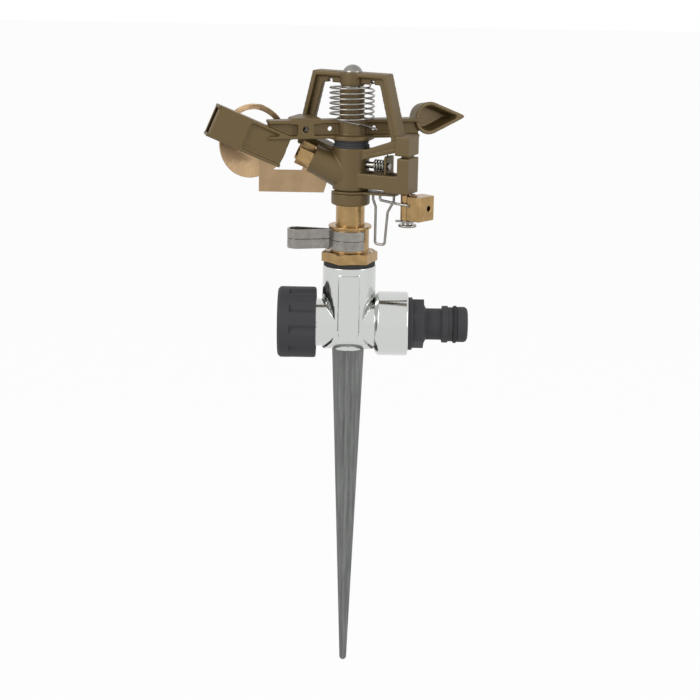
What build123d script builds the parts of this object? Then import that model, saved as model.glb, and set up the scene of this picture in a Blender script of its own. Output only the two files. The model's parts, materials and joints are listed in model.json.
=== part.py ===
"""Impulse sprinkler on a cross-bladed ground spike.

Millimetres, +Z up. The origin is on the swivel axis at the root of the spike, where the tee's
foot sits on it. +X points to the quick-connect inlet and -Y is the front.

The standing part is the spike, the tee and the brass bearing. The head turns on its brass
riser. The hammer arm swings on a pin through the bridge, against a wound spring. Its spoon
dips into the jet, and a folded disc beside the nozzle breaks the jet up. A hanging wire meets
the loops of two friction collars and flips the trip lever and its brass block.
"""
from build123d import *
import math
import os

# Clearances
fit = 0.05
play = 0.3
seat = 0.1

# Ground spike
spike_length = 156.0
spike_top_width = 14.7
spike_tip_width = 3.3
blade_thickness = 1.9
spike_tang_radius = 4.2
spike_tang_height = 2.2

# Tee
tee_height = 38.8
riser_socket_outer = 12.2
riser_socket_bore = 8.5
tee_floor = 3.3
branch_radius = 10.95
branch_bore = 8.0
branch_height = 11.3
foot_radius = 7.3
foot_drop = 0.5
pad_width = 9.4
pad_low = 5.0
pad_high = 35.6
pad_proud = 0.8

# Bearing nut and its washer
bearing_thread_radius = 10.45
bearing_thread_length = 14.2
bearing_washer_thickness = 1.7
bearing_washer_radius = 11.75
bearing_hex_flats = 22.5
bearing_hex_height = 4.9
bearing_hex_turn = 8.0
sleeve_radius = 8.75
sleeve_length = 10.6
sleeve_flange_radius = 9.85
sleeve_flange_height = 1.2

# Screw cap on the left stub
cap_length = 17.6
cap_radius = 16.35
cap_start = 14.9
cap_wall = 2.0
cap_band = 5.6
cap_flutes = 10
cap_flute_radius = 3.0
cap_flute_depth = 0.9
stub_radius = 13.1
stub_start = 15.8
cap_washer_thickness = 1.8

# Collar and quick-connect nipple on the right
collar_start = 12.0
collar_length = 15.3
collar_radius = 14.8
collar_chamfer = 1.6
nipple_thread_radius = 10.4
nipple_thread_length = 12.0
nipple_washer_thickness = 1.6
nipple_flange_radius = 12.15
nipple_flange_thickness = 2.0
nipple_hex_flats = 20.2
nipple_hex_length = 5.3
nipple_neck_radius = 7.25
nipple_neck_length = 8.3
nipple_ring_radius = 8.5
nipple_ring_width = 2.8
nipple_groove_radius = 7.9
nipple_groove_width = 2.1
o_ring_wire = 1.1
nipple_tip_radius = 8.15
nipple_tip_length = 4.7
nipple_bore = 5.2

# Part-circle collars
collar_strip = 0.9
collar_width = 4.3
collar_lower_seat = 1.0
collar_pitch = 4.5
collar_gap_start = -47.0
collar_gap_end = 30.0
loop_end_radius = 4.6
loop_reach = 28.6
loop_neck_radius = 1.7
loop_neck_reach = 10.6

# Riser tube and its washers
riser_radius = 6.55
riser_bore = 4.7
riser_flange_thickness = 1.6
riser_flange_radius = 8.2
thrust_thickness = 1.0
seal_thickness = 1.0
riser_show = 9.6

# Hub of the head
hub_ring_radius = 8.8
hub_ring_height = 5.5
lever_groove_radius = 7.3
lever_groove_height = 1.3
hub_radius = 8.25
hub_height = 26.1
riser_thread_length = 6.3
pin_hole_depth = 6.9

# Nozzle tube and nozzle
nozzle_yaw = 1.0
nozzle_rise = 24.0
jet_root_height = 12.8
tube_root_radius = 7.6
tube_end_radius = 6.5
tube_length = 19.2
tube_bore = 4.0
nozzle_thread_radius = 5.2
nozzle_thread_length = 6.5
nozzle_hex_flats = 9.6
nozzle_hex_length = 6.6
nozzle_tip_radius = 3.7
nozzle_tip_length = 1.0
nozzle_orifice = 2.0

# Bridge over the arm
bridge_yaw = 27.0
bridge_top_half = 18.3
bridge_slope = 0.255
bridge_depth = 7.4
bridge_rim = 2.2
bridge_web = 3.0
bridge_web_thickness = 2.8
bridge_top = 59.6
bridge_foot = 30.2
bridge_boss_radius = 5.4
bridge_boss_drop = 6.2
spring_hole_radius = 1.1
spring_hole_out = 10.6
spring_hole_drop = 4.4
strap_thickness = 4.6
strap_grooves = 2
strap_groove_depth = 0.7

# Trip housing below the bridge
housing_half = 5.5
housing_wall = 2.4
housing_bottom = 7.5
housing_wall_height = 7.7
end_block_start = 25.4
end_block_end = 31.0
end_block_height = 15.9
end_block_skirt = 1.0
upper_block_start = 24.2
upper_block_height = 8.8
block_slit = 1.0
block_neck_length = 3.4
block_neck_width = 6.0

# Steel coil in the housing window
coil_radius = 2.5
coil_wire = 0.75
coil_start = 11.4
coil_length = 6.2
coil_turns = 4
coil_height = 18.6
coil_pin_radius = 1.5
coil_lug_thickness = 1.2
coil_lug_height = 15.6

# Fulcrum pin, bush and washer of the arm
pin_radius = 2.0
pin_head_radius = 4.45
pin_head_height = 3.2
bush_radius = 8.2
bush_height = 3.5
bush_waist = 0.5
arm_washer_radius = 5.0
arm_washer_thickness = 0.8

# Hammer arm
arm_yaw = 15.0
arm_flange_radius = 10.0
arm_flange_height = 2.0
arm_hub_radius = 6.8
arm_hub_height = 9.5
arm_sleeve_radius = 5.6
arm_sleeve_height = 22.9
arm_bushing_wall = 1.1
beam_low = 0.5
beam_height = 8.4
beam_half = 3.5
beam_flange = 1.5
beam_web_half = 1.1
left_beam_reach = 38.6
right_beam_reach = 31.0
hole_boss_out = 21.9
hole_boss_half = 3.6
hole_boss_bore = 1.4
tail_hole_out = 10.2
tail_hole_radius = 1.1
striker_inner = 15.0
striker_outer = 28.5
striker_thickness = 2.9
striker_top = 9.9

# Spoon at the end of the arm
spoon_rise = 24.0
spoon_out = 48.7
spoon_height = 2.65
spoon_half = 7.4
spoon_plate = 1.4
spoon_face_length = 15.2
spoon_channel_length = 19.5
spoon_front = 3.5
spoon_recess = 1.5
spoon_face_turn = 15.0
spoon_depth = 12.8
spoon_outer_depth = 10.8
spoon_inner_depth = 9.0

# Weight cup at the other end of the arm
cup_out = 41.6
cup_rise = 8.7
cup_turn = 13.0
cup_length = 25.8
cup_height = 15.0
cup_wall = 1.7
cup_depth = 8.5
cup_floor = 1.8
cup_tip_radius = 0.9
cup_draft = 10.0

# Return spring of the arm
spring_radius = 9.85
spring_wire = 0.43
spring_pitch = 2.3
spring_turns = 6.25

# Jet deflector
deflector_thickness = 0.9
deflector_fold = 33.0
disc_radius = 16.8
disc_out = 45.9
disc_height = 93.7
disc_rim = 2.5
disc_window_low = 97.0
fold_out = 41.7
strip_low = 70.2
strip_width = 10.2
strip_end = 12.4
ear_out = 16.0
ear_height = 85.0
ear_radius = 4.6
deflector_boss_radius = 4.2
deflector_boss_face = 8.9
screw_radius = 1.5
screw_reach = 2.3
screw_head_radius = 2.9
screw_head_height = 1.7
screw_washer_radius = 3.3
screw_washer_thickness = 0.6
screw_slot = 0.8

# Trip lever, wire, link and block
lever_thickness = 1.0
lever_ring_radius = 9.4
lever_opening = 100.0
lever_reach = 23.2
lever_root_half = 4.6
lever_tip_half = 2.3
wire_radius = 0.6
wire_offset = 0.9
wire_inner_out = 11.0
wire_outer_out = 21.4
wire_low_inner_out = 12.4
wire_bend_radius = 2.4
wire_low = 49.5
link_offset = 2.2
link_out = 16.0
link_slot_length = 2.7
link_drop = 2.1
trip_pin_out = 28.8
trip_pin_radius = 1.5
trip_pin_depth = 9.0
trip_head_radius = 4.1
trip_head_thickness = 1.0
trip_collar_radius = 2.3
trip_collar_height = 1.1
clip_radius = 3.2
clip_thickness = 0.8
clip_tongue_reach = 5.4
clip_tongue_half = 1.0
block_turn = 15.0
block_boss_radius = 3.3
block_reach = 9.2
block_inner = 1.4
block_back = 7.8
block_height = 11.6
block_edge = 1.2
block_hole_radius = 1.2
block_hole_back = 3.7

# Heights along the swivel axis
bearing_low = tee_height - bearing_thread_length
hex_low = tee_height + bearing_washer_thickness
hex_top = hex_low + bearing_hex_height
sleeve_top = hex_top + sleeve_length
flange_top = sleeve_top + sleeve_flange_height
hub_low = flange_top + riser_show
groove_low = hub_low + hub_ring_height
groove_top = groove_low + lever_groove_height
hub_top = hub_low + hub_height
jet_root = hub_low + jet_root_height
arm_low = hub_top + bush_height + seat
arm_sleeve_top = arm_low + arm_sleeve_height
bridge_high = hub_low + bridge_top
bridge_low = hub_low + bridge_foot
housing_low = hub_low + housing_bottom + 0.9
boss_low = arm_sleeve_top + arm_washer_thickness + seat
riser_low = bearing_low - seal_thickness - thrust_thickness - riser_flange_thickness
lever_low = groove_low + (lever_groove_height - lever_thickness) / 2
skirt_low = housing_low - end_block_skirt
block_top = skirt_low - 2 * play + 0.2
block_low = block_top - block_height
clip_low = block_low - seat - clip_thickness
trip_head_top = clip_low - trip_collar_height

# Frames of the yawed groups
bridge_frame = Rot(0, 0, -bridge_yaw)
arm_frame = Rot(0, 0, arm_yaw)
jet_frame = Rot(0, 0, -nozzle_yaw) * Pos(0, 0, jet_root) * Rot(0, nozzle_rise - 90, 0)
branch_frame = Pos(0, 0, branch_height) * Rot(0, 90, 0)
spoon_frame = arm_frame * Pos(-spoon_out, 0, arm_low + spoon_height) * Rot(0, spoon_rise, 0)
block_frame = bridge_frame * Pos(trip_pin_out, 0, 0) * Rot(0, 0, -block_turn)


def turned(points):
    """A solid of revolution about Z through (radius, height) points."""
    outline = Polyline([(radius, 0, height) for radius, height in points], close=True)
    return revolve(make_face(outline), Axis.Z, 360)


def ring(outer, inner, low, high):
    """A plain ring about Z."""
    return turned([(inner, low), (outer, low), (outer, high), (inner, high)])


def rod(radius, low, high):
    """A round rod about Z."""
    return Pos(0, 0, (low + high) / 2) * Cylinder(radius, high - low)


def block(x_low, x_high, y_low, y_high, z_low, z_high):
    """A box between two corners."""
    middle = Pos((x_low + x_high) / 2, (y_low + y_high) / 2, (z_low + z_high) / 2)
    return middle * Box(x_high - x_low, y_high - y_low, z_high - z_low)


def side_plate(points, front, back):
    """A plate standing on edge: (x, z) outline, between two depths y."""
    face = make_face(Polyline([(x, front, z) for x, z in points], close=True))
    return extrude(face, back - front, dir=(0, 1, 0))


def flat_plate(points, low, high):
    """A plate lying flat: (x, y) outline, between two heights."""
    face = make_face(Polyline([(x, y, low) for x, y in points], close=True))
    return extrude(face, high - low, dir=(0, 0, 1))


def hexagon(flats, low, high):
    """A hexagonal prism about Z."""
    return extrude(Pos(0, 0, low) * RegularPolygon(flats / 2, 6, major_radius=False), high - low)


def cross_rod(radius, x, z, front, back):
    """A round rod along Y at (x, z)."""
    return Pos(x, (front + back) / 2, z) * Rot(90, 0, 0) * Cylinder(radius, back - front)


def hull_face(first, second):
    """A face drawn tightly around two circles (x, y, radius)."""
    circles = [Pos(x, y) * Circle(radius) for x, y, radius in (first, second)]
    return make_hull(circles[0].edges() + circles[1].edges())


def hull_plate(first, second, low, high):
    """A flat plate around two circles (x, y, radius)."""
    return Pos(0, 0, low) * extrude(hull_face(first, second), high - low, dir=(0, 0, 1))


def wire_solid(points, radius, bend):
    """A round wire along points with bends of one radius."""
    path = FilletPolyline(*points, radius=bend)
    start = Plane(origin=path @ 0, z_dir=path % 0)
    return sweep(start * Circle(radius), path=path)


def ground_spike():
    """Two crossed tapered blades with a rounded tip, and a tang for the tee's foot."""
    tip_low = -foot_drop - spike_length
    half_top = spike_top_width / 2
    half_tip = spike_tip_width / 2
    outline = [(-half_top, -foot_drop), (half_top, -foot_drop),
               (half_tip, tip_low + half_tip), (-half_tip, tip_low + half_tip)]
    half = blade_thickness / 2
    blade = side_plate(outline, -half, half)
    blade += cross_rod(half_tip, 0, tip_low + half_tip, -half, half)
    crossed = blade + Rot(0, 0, 90) * blade
    return crossed + rod(spike_tang_radius, -foot_drop, spike_tang_height - foot_drop)


def tee_body():
    """Plated tee: riser socket, branch with a thread stub and a threaded collar, and a bare pad."""
    socket = turned([(0, branch_height), (riser_socket_outer, branch_height),
                     (riser_socket_outer, tee_height), (0, tee_height)])
    lower = rod(riser_socket_outer, 0, branch_height) & (branch_frame * Cylinder(
        riser_socket_outer, 2 * riser_socket_outer)) & block(
        -riser_socket_outer, riser_socket_outer, -riser_socket_outer, riser_socket_outer,
        0, branch_height)
    foot = rod(foot_radius, -foot_drop, branch_height)
    collar_end = collar_start + collar_length
    branch = branch_frame * turned([
        (0, -stub_end()), (stub_radius - 0.8, -stub_end()), (stub_radius, -stub_end() + 0.8),
        (stub_radius, -stub_start), (branch_radius, -stub_start), (branch_radius, collar_start),
        (collar_radius - collar_chamfer, collar_start), (collar_radius, collar_start + collar_chamfer),
        (collar_radius, collar_end - 0.6), (collar_radius - 0.6, collar_end), (0, collar_end)])
    half = pad_width / 2
    front = riser_socket_outer + pad_proud
    pad = block(-half, half, -front, -branch_radius + 1, pad_low + half, pad_high)
    pad += cross_rod(half, 0, pad_low + half, -front, -branch_radius + 1)
    body = socket + lower + foot + branch + pad
    bearing_bore = bearing_thread_radius + fit
    collar_bore = nipple_thread_radius + fit
    collar_floor = collar_end - nipple_thread_length - nipple_washer_thickness
    body -= rod(riser_socket_bore, tee_floor, tee_height)
    body -= rod(bearing_bore, bearing_low - seat, tee_height + 1)
    body -= branch_frame * rod(branch_bore, -stub_end() - 1, collar_end)
    body -= branch_frame * rod(collar_bore, collar_floor, collar_end + 1)
    return body - rod(spike_tang_radius + fit, -foot_drop - 1, spike_tang_height - foot_drop)


def stub_end():
    """Distance of the left stub's end from the swivel axis."""
    return cap_start + cap_length - cap_wall - cap_washer_thickness


def end_cap():
    """Fluted screw cap with a smooth band at its closed end."""
    open_end = -cap_start
    closed_end = -cap_start - cap_length
    bore = stub_radius + fit
    cup = turned([(0, closed_end), (cap_radius - 1.2, closed_end), (cap_radius, closed_end + 1.2),
                  (cap_radius, open_end - 0.7), (cap_radius - 0.7, open_end), (bore, open_end),
                  (bore, closed_end + cap_wall), (0, closed_end + cap_wall)])
    flute_centre = cap_radius + cap_flute_radius - cap_flute_depth
    flute = Pos(flute_centre, 0, 0) * rod(cap_flute_radius, closed_end + cap_band, open_end + 1)
    for index in range(cap_flutes):
        cup -= Rot(0, 0, 360 / cap_flutes * (index + 0.5)) * flute
    return branch_frame * cup


def end_cap_washer():
    """Sealing washer between the stub and the cap."""
    low = -stub_end() - cap_washer_thickness
    return branch_frame * ring(stub_radius - fit, branch_bore, low, -stub_end())


def nipple_steps():
    """Distances along X of the nipple's shoulders, from its flange to its tip."""
    flange = collar_start + collar_length + fit
    hexagon_start = flange + nipple_flange_thickness
    neck = hexagon_start + nipple_hex_length
    first_ring = neck + nipple_neck_length
    groove = first_ring + nipple_ring_width
    o_ring = groove + nipple_groove_width
    tip = o_ring + 2 * o_ring_wire + fit
    return flange, hexagon_start, neck, first_ring, groove, o_ring, tip


def hose_nipple():
    """Quick-connect inlet with its thread, hexagon, neck, rings and rounded tip."""
    flange, hexagon_start, neck, first_ring, groove, o_ring, tip = nipple_steps()
    thread_start = flange - fit - nipple_thread_length
    end = tip + nipple_tip_length
    flare = nipple_hex_flats / 2 - 1
    body = turned([
        (nipple_bore, thread_start), (nipple_thread_radius, thread_start),
        (nipple_thread_radius, flange), (nipple_flange_radius, flange),
        (nipple_flange_radius, hexagon_start), (flare, hexagon_start), (flare, neck),
        (nipple_neck_radius, neck + 1), (nipple_neck_radius, first_ring),
        (nipple_ring_radius, first_ring), (nipple_ring_radius, groove),
        (nipple_groove_radius, groove), (nipple_groove_radius, o_ring),
        (o_ring_seat(), o_ring), (o_ring_seat(), tip), (nipple_tip_radius, tip),
        (nipple_tip_radius, end - 1.6), (nipple_tip_radius - 0.5, end - 0.5),
        (nipple_tip_radius - 1.6, end), (nipple_bore, end)])
    grip = hexagon(nipple_hex_flats, hexagon_start, neck) - rod(nipple_bore + 1, hexagon_start - 1, neck + 1)
    return branch_frame * (body + grip)


def o_ring_seat():
    """Radius of the floor of the O-ring's groove."""
    return nipple_tip_radius - 1.7


def nipple_o_ring():
    """O-ring near the nipple's tip."""
    tip = nipple_steps()[-1]
    centre = o_ring_seat() + o_ring_wire + fit / 2
    return branch_frame * Pos(0, 0, tip - o_ring_wire - fit / 2) * Torus(centre, o_ring_wire)


def nipple_washer():
    """Flat washer at the bottom of the threaded collar."""
    high = collar_start + collar_length - nipple_thread_length
    return branch_frame * ring(nipple_thread_radius - fit, nipple_bore, high - nipple_washer_thickness, high)


def bearing_washer():
    """Rubber washer between the tee's rim and the brass hexagon."""
    return ring(bearing_washer_radius, bearing_thread_radius + fit, tee_height, hex_low)


def bearing_nut():
    """Brass bearing: thread, chamfered hexagon, sleeve for the collars and top flange."""
    corner = bearing_hex_flats / math.sqrt(3)
    grip = Rot(0, 0, bearing_hex_turn) * hexagon(bearing_hex_flats, hex_low, hex_top)
    grip &= turned([(0, hex_low), (corner, hex_low), (corner, hex_top - 0.8),
                    (corner - 1.6, hex_top), (0, hex_top)])
    body = rod(bearing_thread_radius, bearing_low, hex_low) + grip
    body += rod(sleeve_radius, hex_top, sleeve_top)
    body += rod(sleeve_flange_radius, sleeve_top, flange_top)
    return body - rod(riser_radius + fit, bearing_low - 1, flange_top + 1)


def seal_washer():
    """Rubber seal under the bearing, inside the tee."""
    return ring(riser_flange_radius, riser_radius + fit, bearing_low - seal_thickness, bearing_low)


def thrust_washer():
    """Nylon ring between the riser's flange and the seal."""
    high = bearing_low - seal_thickness
    return ring(riser_flange_radius, riser_radius + fit, high - thrust_thickness, high)


def riser_tube():
    """Brass tube that turns in the bearing, with a flange that keeps it in."""
    flange_high = riser_low + riser_flange_thickness
    top = hub_low + riser_thread_length
    return turned([(riser_bore, riser_low), (riser_flange_radius, riser_low),
                   (riser_flange_radius, flange_high), (riser_radius, flange_high),
                   (riser_radius, top), (riser_bore, top)])


def friction_collar(low):
    """Sprung strip ring on the sleeve, open at the right, with a finger loop at the left."""
    inner = sleeve_radius + fit
    outer = inner + collar_strip
    high = low + collar_width
    loop_centre = -(loop_reach - loop_end_radius)
    end_circle = (loop_centre, 0, loop_end_radius)
    neck_circle = (-loop_neck_reach, 0, loop_neck_radius)
    end_inside = (loop_centre, 0, loop_end_radius - collar_strip)
    neck_inside = (-loop_neck_reach, 0, loop_neck_radius - collar_strip)
    loop = hull_plate(end_circle, neck_circle, low, high)
    loop += block(-loop_neck_reach, -inner, -loop_neck_radius, loop_neck_radius, low, high)
    hollow = hull_plate(end_inside, neck_inside, low - 1, high + 1)
    hollow += block(-loop_neck_reach, 0, collar_strip - loop_neck_radius,
                    loop_neck_radius - collar_strip, low - 1, high + 1)
    reach = 2 * outer
    start = math.radians(collar_gap_start)
    end = math.radians(collar_gap_end)
    gap_wedge = flat_plate([(0, 0), (reach * math.cos(start), reach * math.sin(start)),
                            (reach, 0), (reach * math.cos(end), reach * math.sin(end))],
                           low - 1, high + 1)
    strip = rod(outer, low, high) + loop
    return strip - hollow - rod(inner, low - 1, high + 1) - gap_wedge


def bridge_outline(inset):
    """(u, z) outline of the bridge, moved inwards by an inset."""
    side = inset * math.sqrt(1 + bridge_slope ** 2)
    top_half = bridge_top_half + bridge_slope * inset - side
    foot_half = bridge_top_half + bridge_slope * (bridge_high - bridge_low) - side
    return [(-top_half, bridge_high - inset), (top_half, bridge_high - inset),
            (foot_half, bridge_low), (-foot_half, bridge_low)]


def bridge():
    """Sloped bridge with a deep rim, a thin web, the pin's boss and two spring holes."""
    half = bridge_depth / 2
    web_half = bridge_web_thickness / 2
    rim = side_plate(bridge_outline(0), -half, half)
    rim -= side_plate(bridge_outline(bridge_rim), -half - 1, half + 1)
    web = side_plate(bridge_outline(bridge_rim / 2), -web_half, web_half)
    web -= side_plate(bridge_outline(bridge_rim + bridge_web), -half, half)
    body = rim + web + rod(bridge_boss_radius, boss_low, bridge_high)
    for side in (-1, 1):
        body -= cross_rod(spring_hole_radius, side * spring_hole_out, bridge_high - spring_hole_drop,
                          -half, half)
    return body


def bridge_straps():
    """Slanted straps that carry the bridge's two feet from the hub, grooved at the front."""
    half = bridge_depth / 2
    foot = bridge_top_half + bridge_slope * (bridge_high - bridge_low)
    straps = None
    for side in (-1, 1):
        inner_low = hub_top - 1.3 * strap_thickness
        points = [(side * hub_radius / 2, inner_low), (side * foot, bridge_low - 0.9 * strap_thickness),
                  (side * foot, bridge_low + 1), (side * (foot - bridge_rim), bridge_low + 1),
                  (side * (hub_radius + 1), hub_top - seat), (side * hub_radius / 2, hub_top - seat)]
        strap = side_plate(points, -half, half)
        rise = (bridge_low - hub_top) / (foot - hub_radius)
        for index in range(strap_grooves):
            low = inner_low + (1.6 + 1.5 * index)
            groove = [(side * (hub_radius + 1), low), (side * (foot - 2), low + rise * (foot - hub_radius)),
                      (side * (foot - 2), low + 0.6 + rise * (foot - hub_radius)),
                      (side * (hub_radius + 1), low + 0.6)]
            strap -= side_plate(groove, -half - 1, -half + strap_groove_depth)
        straps = strap if straps is None else straps + strap
    return straps


def trip_housing():
    """Open-bottomed housing at the right, with its end block and the block under the bridge."""
    half = housing_half
    wall_top = housing_low + housing_wall_height - 0.9
    block_top_face = housing_low + end_block_height - 0.9
    upper_low = block_top_face + block_slit
    body = block(hub_radius / 2, end_block_start + 1, -half, -half + housing_wall, housing_low, wall_top)
    body += block(hub_radius / 2, end_block_start + 1, half - housing_wall, half, housing_low, wall_top)
    body += block(end_block_start, end_block_end, -half, half, skirt_low, block_top_face)
    body += block(end_block_start - 6, end_block_start + 1, -half, -half + housing_wall, skirt_low, wall_top)
    body += block(upper_block_start, end_block_end, -half, half, upper_low, upper_low + upper_block_height)
    neck_middle = (end_block_start + end_block_end) / 2
    body += block(neck_middle - block_neck_length / 2, neck_middle + block_neck_length / 2,
                  -block_neck_width / 2, block_neck_width / 2, block_top_face - 1, upper_low + 1)
    lug_start = coil_start + coil_length + fit
    body += block(lug_start, lug_start + coil_lug_thickness, -coil_radius, half,
                  wall_top - 3, housing_low + coil_lug_height - 0.9)
    coil_z = hub_low + coil_height
    pin_hole = Pos(0, 0, coil_z) * Rot(0, 90, 0) * rod(coil_pin_radius + fit, hub_radius - 2.5, end_block_start - 1)
    body -= pin_hole
    return body - Pos(trip_pin_out, 0, 0) * rod(trip_pin_radius + fit, skirt_low - 1, skirt_low + trip_pin_depth)


def head_body():
    """Cast head: hub, nozzle tube, bridge, straps, trip housing and deflector boss."""
    hub = turned([(0, hub_low), (hub_ring_radius - 0.5, hub_low), (hub_ring_radius, hub_low + 0.5),
                  (hub_ring_radius, groove_low), (lever_groove_radius, groove_low),
                  (lever_groove_radius, groove_top), (hub_radius, groove_top), (hub_radius, hub_top),
                  (0, hub_top)])
    tube = jet_frame * turned([(0, 0), (tube_root_radius, 0), (tube_root_radius, tube_length / 3),
                               (tube_end_radius, tube_length - 3), (tube_end_radius, tube_length),
                               (0, tube_length)])
    ear = cross_rod(deflector_boss_radius, -ear_out, ear_height, 2, deflector_boss_face)
    ear &= jet_frame * rod(2 * tube_root_radius, 0, tube_length)
    body = hub + tube + ear + bridge_frame * (bridge() + bridge_straps() + trip_housing())
    body -= rod(riser_radius + fit, hub_low - 1, hub_low + riser_thread_length + fit)
    body -= rod(riser_bore, hub_low, jet_root + riser_bore / 2)
    body -= jet_frame * rod(tube_bore, 0, tube_length)
    body -= jet_frame * rod(nozzle_thread_radius + fit, tube_length - nozzle_thread_length - 0.5, tube_length + 1)
    body -= rod(pin_radius + fit, hub_top - pin_hole_depth, bridge_high + 1)
    coil_z = hub_low + coil_height
    pin_hole = Rot(0, 90, 0) * rod(coil_pin_radius + fit, hub_radius - 2.5, hub_radius + 2)
    body -= bridge_frame * Pos(0, 0, coil_z) * pin_hole
    return body - cross_rod(screw_radius + fit, -ear_out, ear_height,
                            deflector_boss_face - screw_reach - 0.2, deflector_boss_face + 1)


def nozzle():
    """Brass nozzle: thread, hexagon, chamfered tip and tapering bore."""
    start = tube_length + fit
    end = start + nozzle_hex_length
    tip = end + nozzle_tip_length
    body = rod(nozzle_thread_radius, start - nozzle_thread_length, start + 1)
    body += hexagon(nozzle_hex_flats, start, end)
    body += turned([(0, end), (nozzle_tip_radius, end), (nozzle_tip_radius - 0.5, tip), (0, tip)])
    taper = turned([(0, start - nozzle_thread_length - 1), (tube_bore, start - nozzle_thread_length - 1),
                    (tube_bore, start - nozzle_thread_length), (nozzle_orifice, end - 1),
                    (nozzle_orifice, tip + 1), (0, tip + 1)])
    return jet_frame * (body - taper)


def fulcrum_pin():
    """Pin through the bridge and the arm, with a domed head on the bridge."""
    low = hub_top - pin_hole_depth + seat
    sphere_radius = (pin_head_radius ** 2 + pin_head_height ** 2) / (2 * pin_head_height)
    dome = Pos(0, 0, bridge_high + pin_head_height - sphere_radius) * Sphere(sphere_radius)
    dome &= rod(pin_head_radius, bridge_high, bridge_high + pin_head_height)
    return rod(pin_radius, low, bridge_high + 0.5) + dome


def arm_bush_lower():
    """Waisted black bush between the hub and the arm."""
    return turned([(pin_radius + fit, hub_top), (bush_radius, hub_top), (bush_radius, hub_top + 1),
                   (bush_radius - bush_waist, hub_top + 1.2), (bush_radius - bush_waist, hub_top + bush_height - 1),
                   (bush_radius, hub_top + bush_height - 0.8), (bush_radius, hub_top + bush_height),
                   (pin_radius + fit, hub_top + bush_height)])


def arm_washer_upper():
    """Thin washer between the arm's sleeve and the bridge's boss."""
    return ring(arm_washer_radius, pin_radius + fit, boss_low - arm_washer_thickness, boss_low)


def arm_bushing():
    """Sleeve pressed in the arm's hub, which runs on the pin."""
    return ring(pin_radius + fit + arm_bushing_wall, pin_radius + fit, arm_low, arm_sleeve_top)


def beam(reach_from, reach_to):
    """An I-section beam of the arm along its own X."""
    low = arm_low + beam_low
    high = low + beam_height
    body = block(reach_from, reach_to, -beam_half, beam_half, low, low + beam_flange)
    body += block(reach_from, reach_to, -beam_half, beam_half, high - beam_flange, high)
    return body + block(reach_from, reach_to, -beam_web_half, beam_web_half, low, high)


def striker():
    """Lug that reaches back to the bridge's left leg, where the arm comes to rest."""
    top = arm_low + striker_top
    stop_v = -bridge_depth / 2 - play
    leg_u = bridge_top_half + bridge_slope * (bridge_high - top)
    turn = math.radians(bridge_yaw + arm_yaw)

    def to_arm(u, v):
        return u * math.cos(turn) + v * math.sin(turn), v * math.cos(turn) - u * math.sin(turn)

    points = [(-striker_outer, -beam_half), (-striker_inner, -beam_half), (-striker_inner, beam_half),
              to_arm(-leg_u + bridge_rim + 1.5, stop_v), to_arm(-leg_u - 1.5, stop_v),
              (-striker_outer, beam_half)]
    return flat_plate(points, top - striker_thickness, top)


def spoon():
    """Channel at the arm's end: two plates, a stepped front wall and a curved end vane."""
    outer = -spoon_face_length
    inner = spoon_channel_length
    front = -spoon_front
    drift = spoon_face_length * math.tan(math.radians(spoon_face_turn))
    top_plan = [(inner, front), (0, front), (outer, front + drift), (outer, spoon_outer_depth),
                (0, spoon_depth), (inner, spoon_inner_depth)]
    body = flat_plate(top_plan, spoon_half - spoon_plate, spoon_half)
    body += flat_plate(top_plan, -spoon_half, spoon_plate - spoon_half)
    recess = front + spoon_recess
    wall = [(inner, recess), (0, recess), (0, front), (outer, front + drift),
            (outer, front + drift + spoon_plate), (0, front + spoon_plate + spoon_recess),
            (inner, recess + spoon_plate)]
    body += flat_plate(wall, -spoon_half, spoon_half)
    vane_radius = (spoon_outer_depth - front - drift) / 2
    vane = rod(vane_radius, -spoon_half, spoon_half) - rod(vane_radius - spoon_plate, -spoon_half, spoon_half)
    vane = Pos(outer + vane_radius / 2, spoon_outer_depth - vane_radius, 0) * vane
    body += vane & block(outer, outer + vane_radius / 2, front + drift, spoon_outer_depth, -spoon_half, spoon_half)
    for height in (-spoon_half, spoon_half - spoon_plate):
        body += block(outer - 1, outer + 0.5, front + drift - 0.8, front + drift + 1, height, height + spoon_plate)
    return body


def weight_cup():
    """Tear-shaped hollow weight, open to the front, drawn in towards its floor."""
    big = cup_height / 2
    centre = -(cup_length / 2 - big)
    tip = cup_length / 2 - cup_tip_radius
    inner_tip = tip - 2.4 * cup_wall
    rim = hull_face((centre, 0, big), (tip, 0, cup_tip_radius))
    hollow = hull_face((centre, 0, big - cup_wall), (inner_tip, 0, cup_tip_radius))
    shell = extrude(rim, cup_depth, dir=(0, 0, -1), taper=cup_draft)
    return shell - extrude(hollow, cup_depth - cup_floor, dir=(0, 0, -1), taper=cup_draft)


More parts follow.
